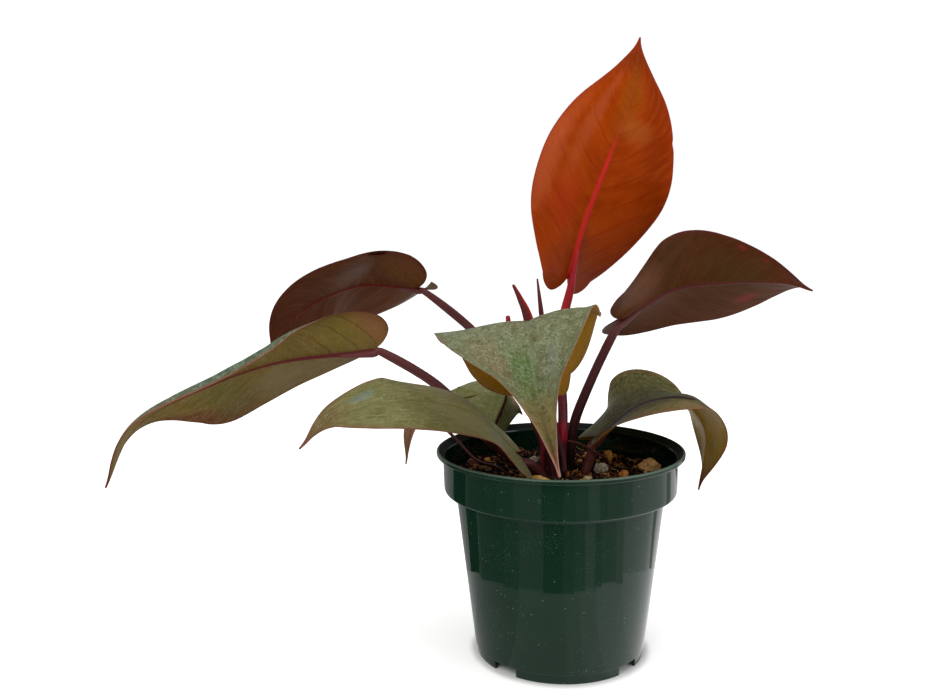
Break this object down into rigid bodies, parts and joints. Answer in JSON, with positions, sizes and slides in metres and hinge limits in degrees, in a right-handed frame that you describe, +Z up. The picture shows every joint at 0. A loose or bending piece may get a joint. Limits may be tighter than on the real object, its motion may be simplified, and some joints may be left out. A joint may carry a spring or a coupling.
{
  "type": "potted prince of orange philodendron",
  "caption": "House plant with broad pointed leaves on maroon stalks and a tall young orange leaf, growing from potting mix in a round dark green nursery pot.",
  "frame": {"origin": "middle of the pot foot, on the surface the pot stands on", "axes": "+Z up; -Y towards the front, the side the picture is taken from; +X to its right"},
  "size_m": [0.2987, 0.1751, 0.2892],
  "materials": {
    "pot_plastic": "glossy moulded dark green plastic with dried water spots",
    "potting_mix": "damp crumbly bark and peat",
    "crown": "dull dark maroon plant tissue",
    "leaf_tall": "satin leathery young blade, orange with a crimson rib",
    "leaf_right": "satin leathery matured blade seen from below, brown maroon",
    "leaf_upper_left": "satin leathery matured blade seen from below, dark red brown",
    "leaf_long_left": "satin leathery olive blade with a green upper face and pink margin",
    "leaf_low_left": "satin leathery olive green blade with pale scurf and a pink margin",
    "leaf_front": "satin leathery grey green blade with a pale net and a pink margin",
    "leaf_back": "satin leathery grey green blade",
    "leaf_low_right": "satin leathery olive blade with a dark rib, brown below",
    "stalk_red": "satin crimson plant stalk",
    "stalk_maroon": "satin maroon plant stalk",
    "sheath_red": "satin red brown sheath",
    "dry_stalk": "dull dried stalk",
    "bark_tan": "rough tan bark",
    "bark_orange": "rough orange brown bark",
    "bark_red": "rough red brown bark",
    "pumice": "porous pale stone"
  },
  "bodies": {
    "root": {"pot": "pot_plastic", "potting_mix": "potting_mix", "crown": "crown", "leaf_tall": "leaf_tall", "stalk_tall": "stalk_red", "leaf_right": "leaf_right", "stalk_right": "stalk_maroon", "leaf_upper_left": "leaf_upper_left", "stalk_upper_left": "stalk_maroon", "leaf_long_left": "leaf_long_left", "stalk_long_left": "stalk_maroon", "leaf_low_left": "leaf_low_left", "stalk_low_left": "stalk_maroon", "leaf_front": "leaf_front", "stalk_front": "stalk_maroon", "leaf_back": "leaf_back", "stalk_back": "stalk_maroon", "leaf_low_right": "leaf_low_right", "stalk_low_right": "stalk_maroon", "sheath_wide": "sheath_red", "sheath_thin": "sheath_red", "new_leaf": "sheath_red", "dry_stalk_left": "dry_stalk", "dry_stalk_right": "dry_stalk", "bark_tan": "bark_tan", "bark_orange": "bark_orange", "bark_small": "bark_orange", "bark_front": "bark_tan", "bark_red": "bark_red", "pumice_right": "pumice", "pumice_back": "pumice", "pumice_front": "pumice"}
  },
  "joints": []
}
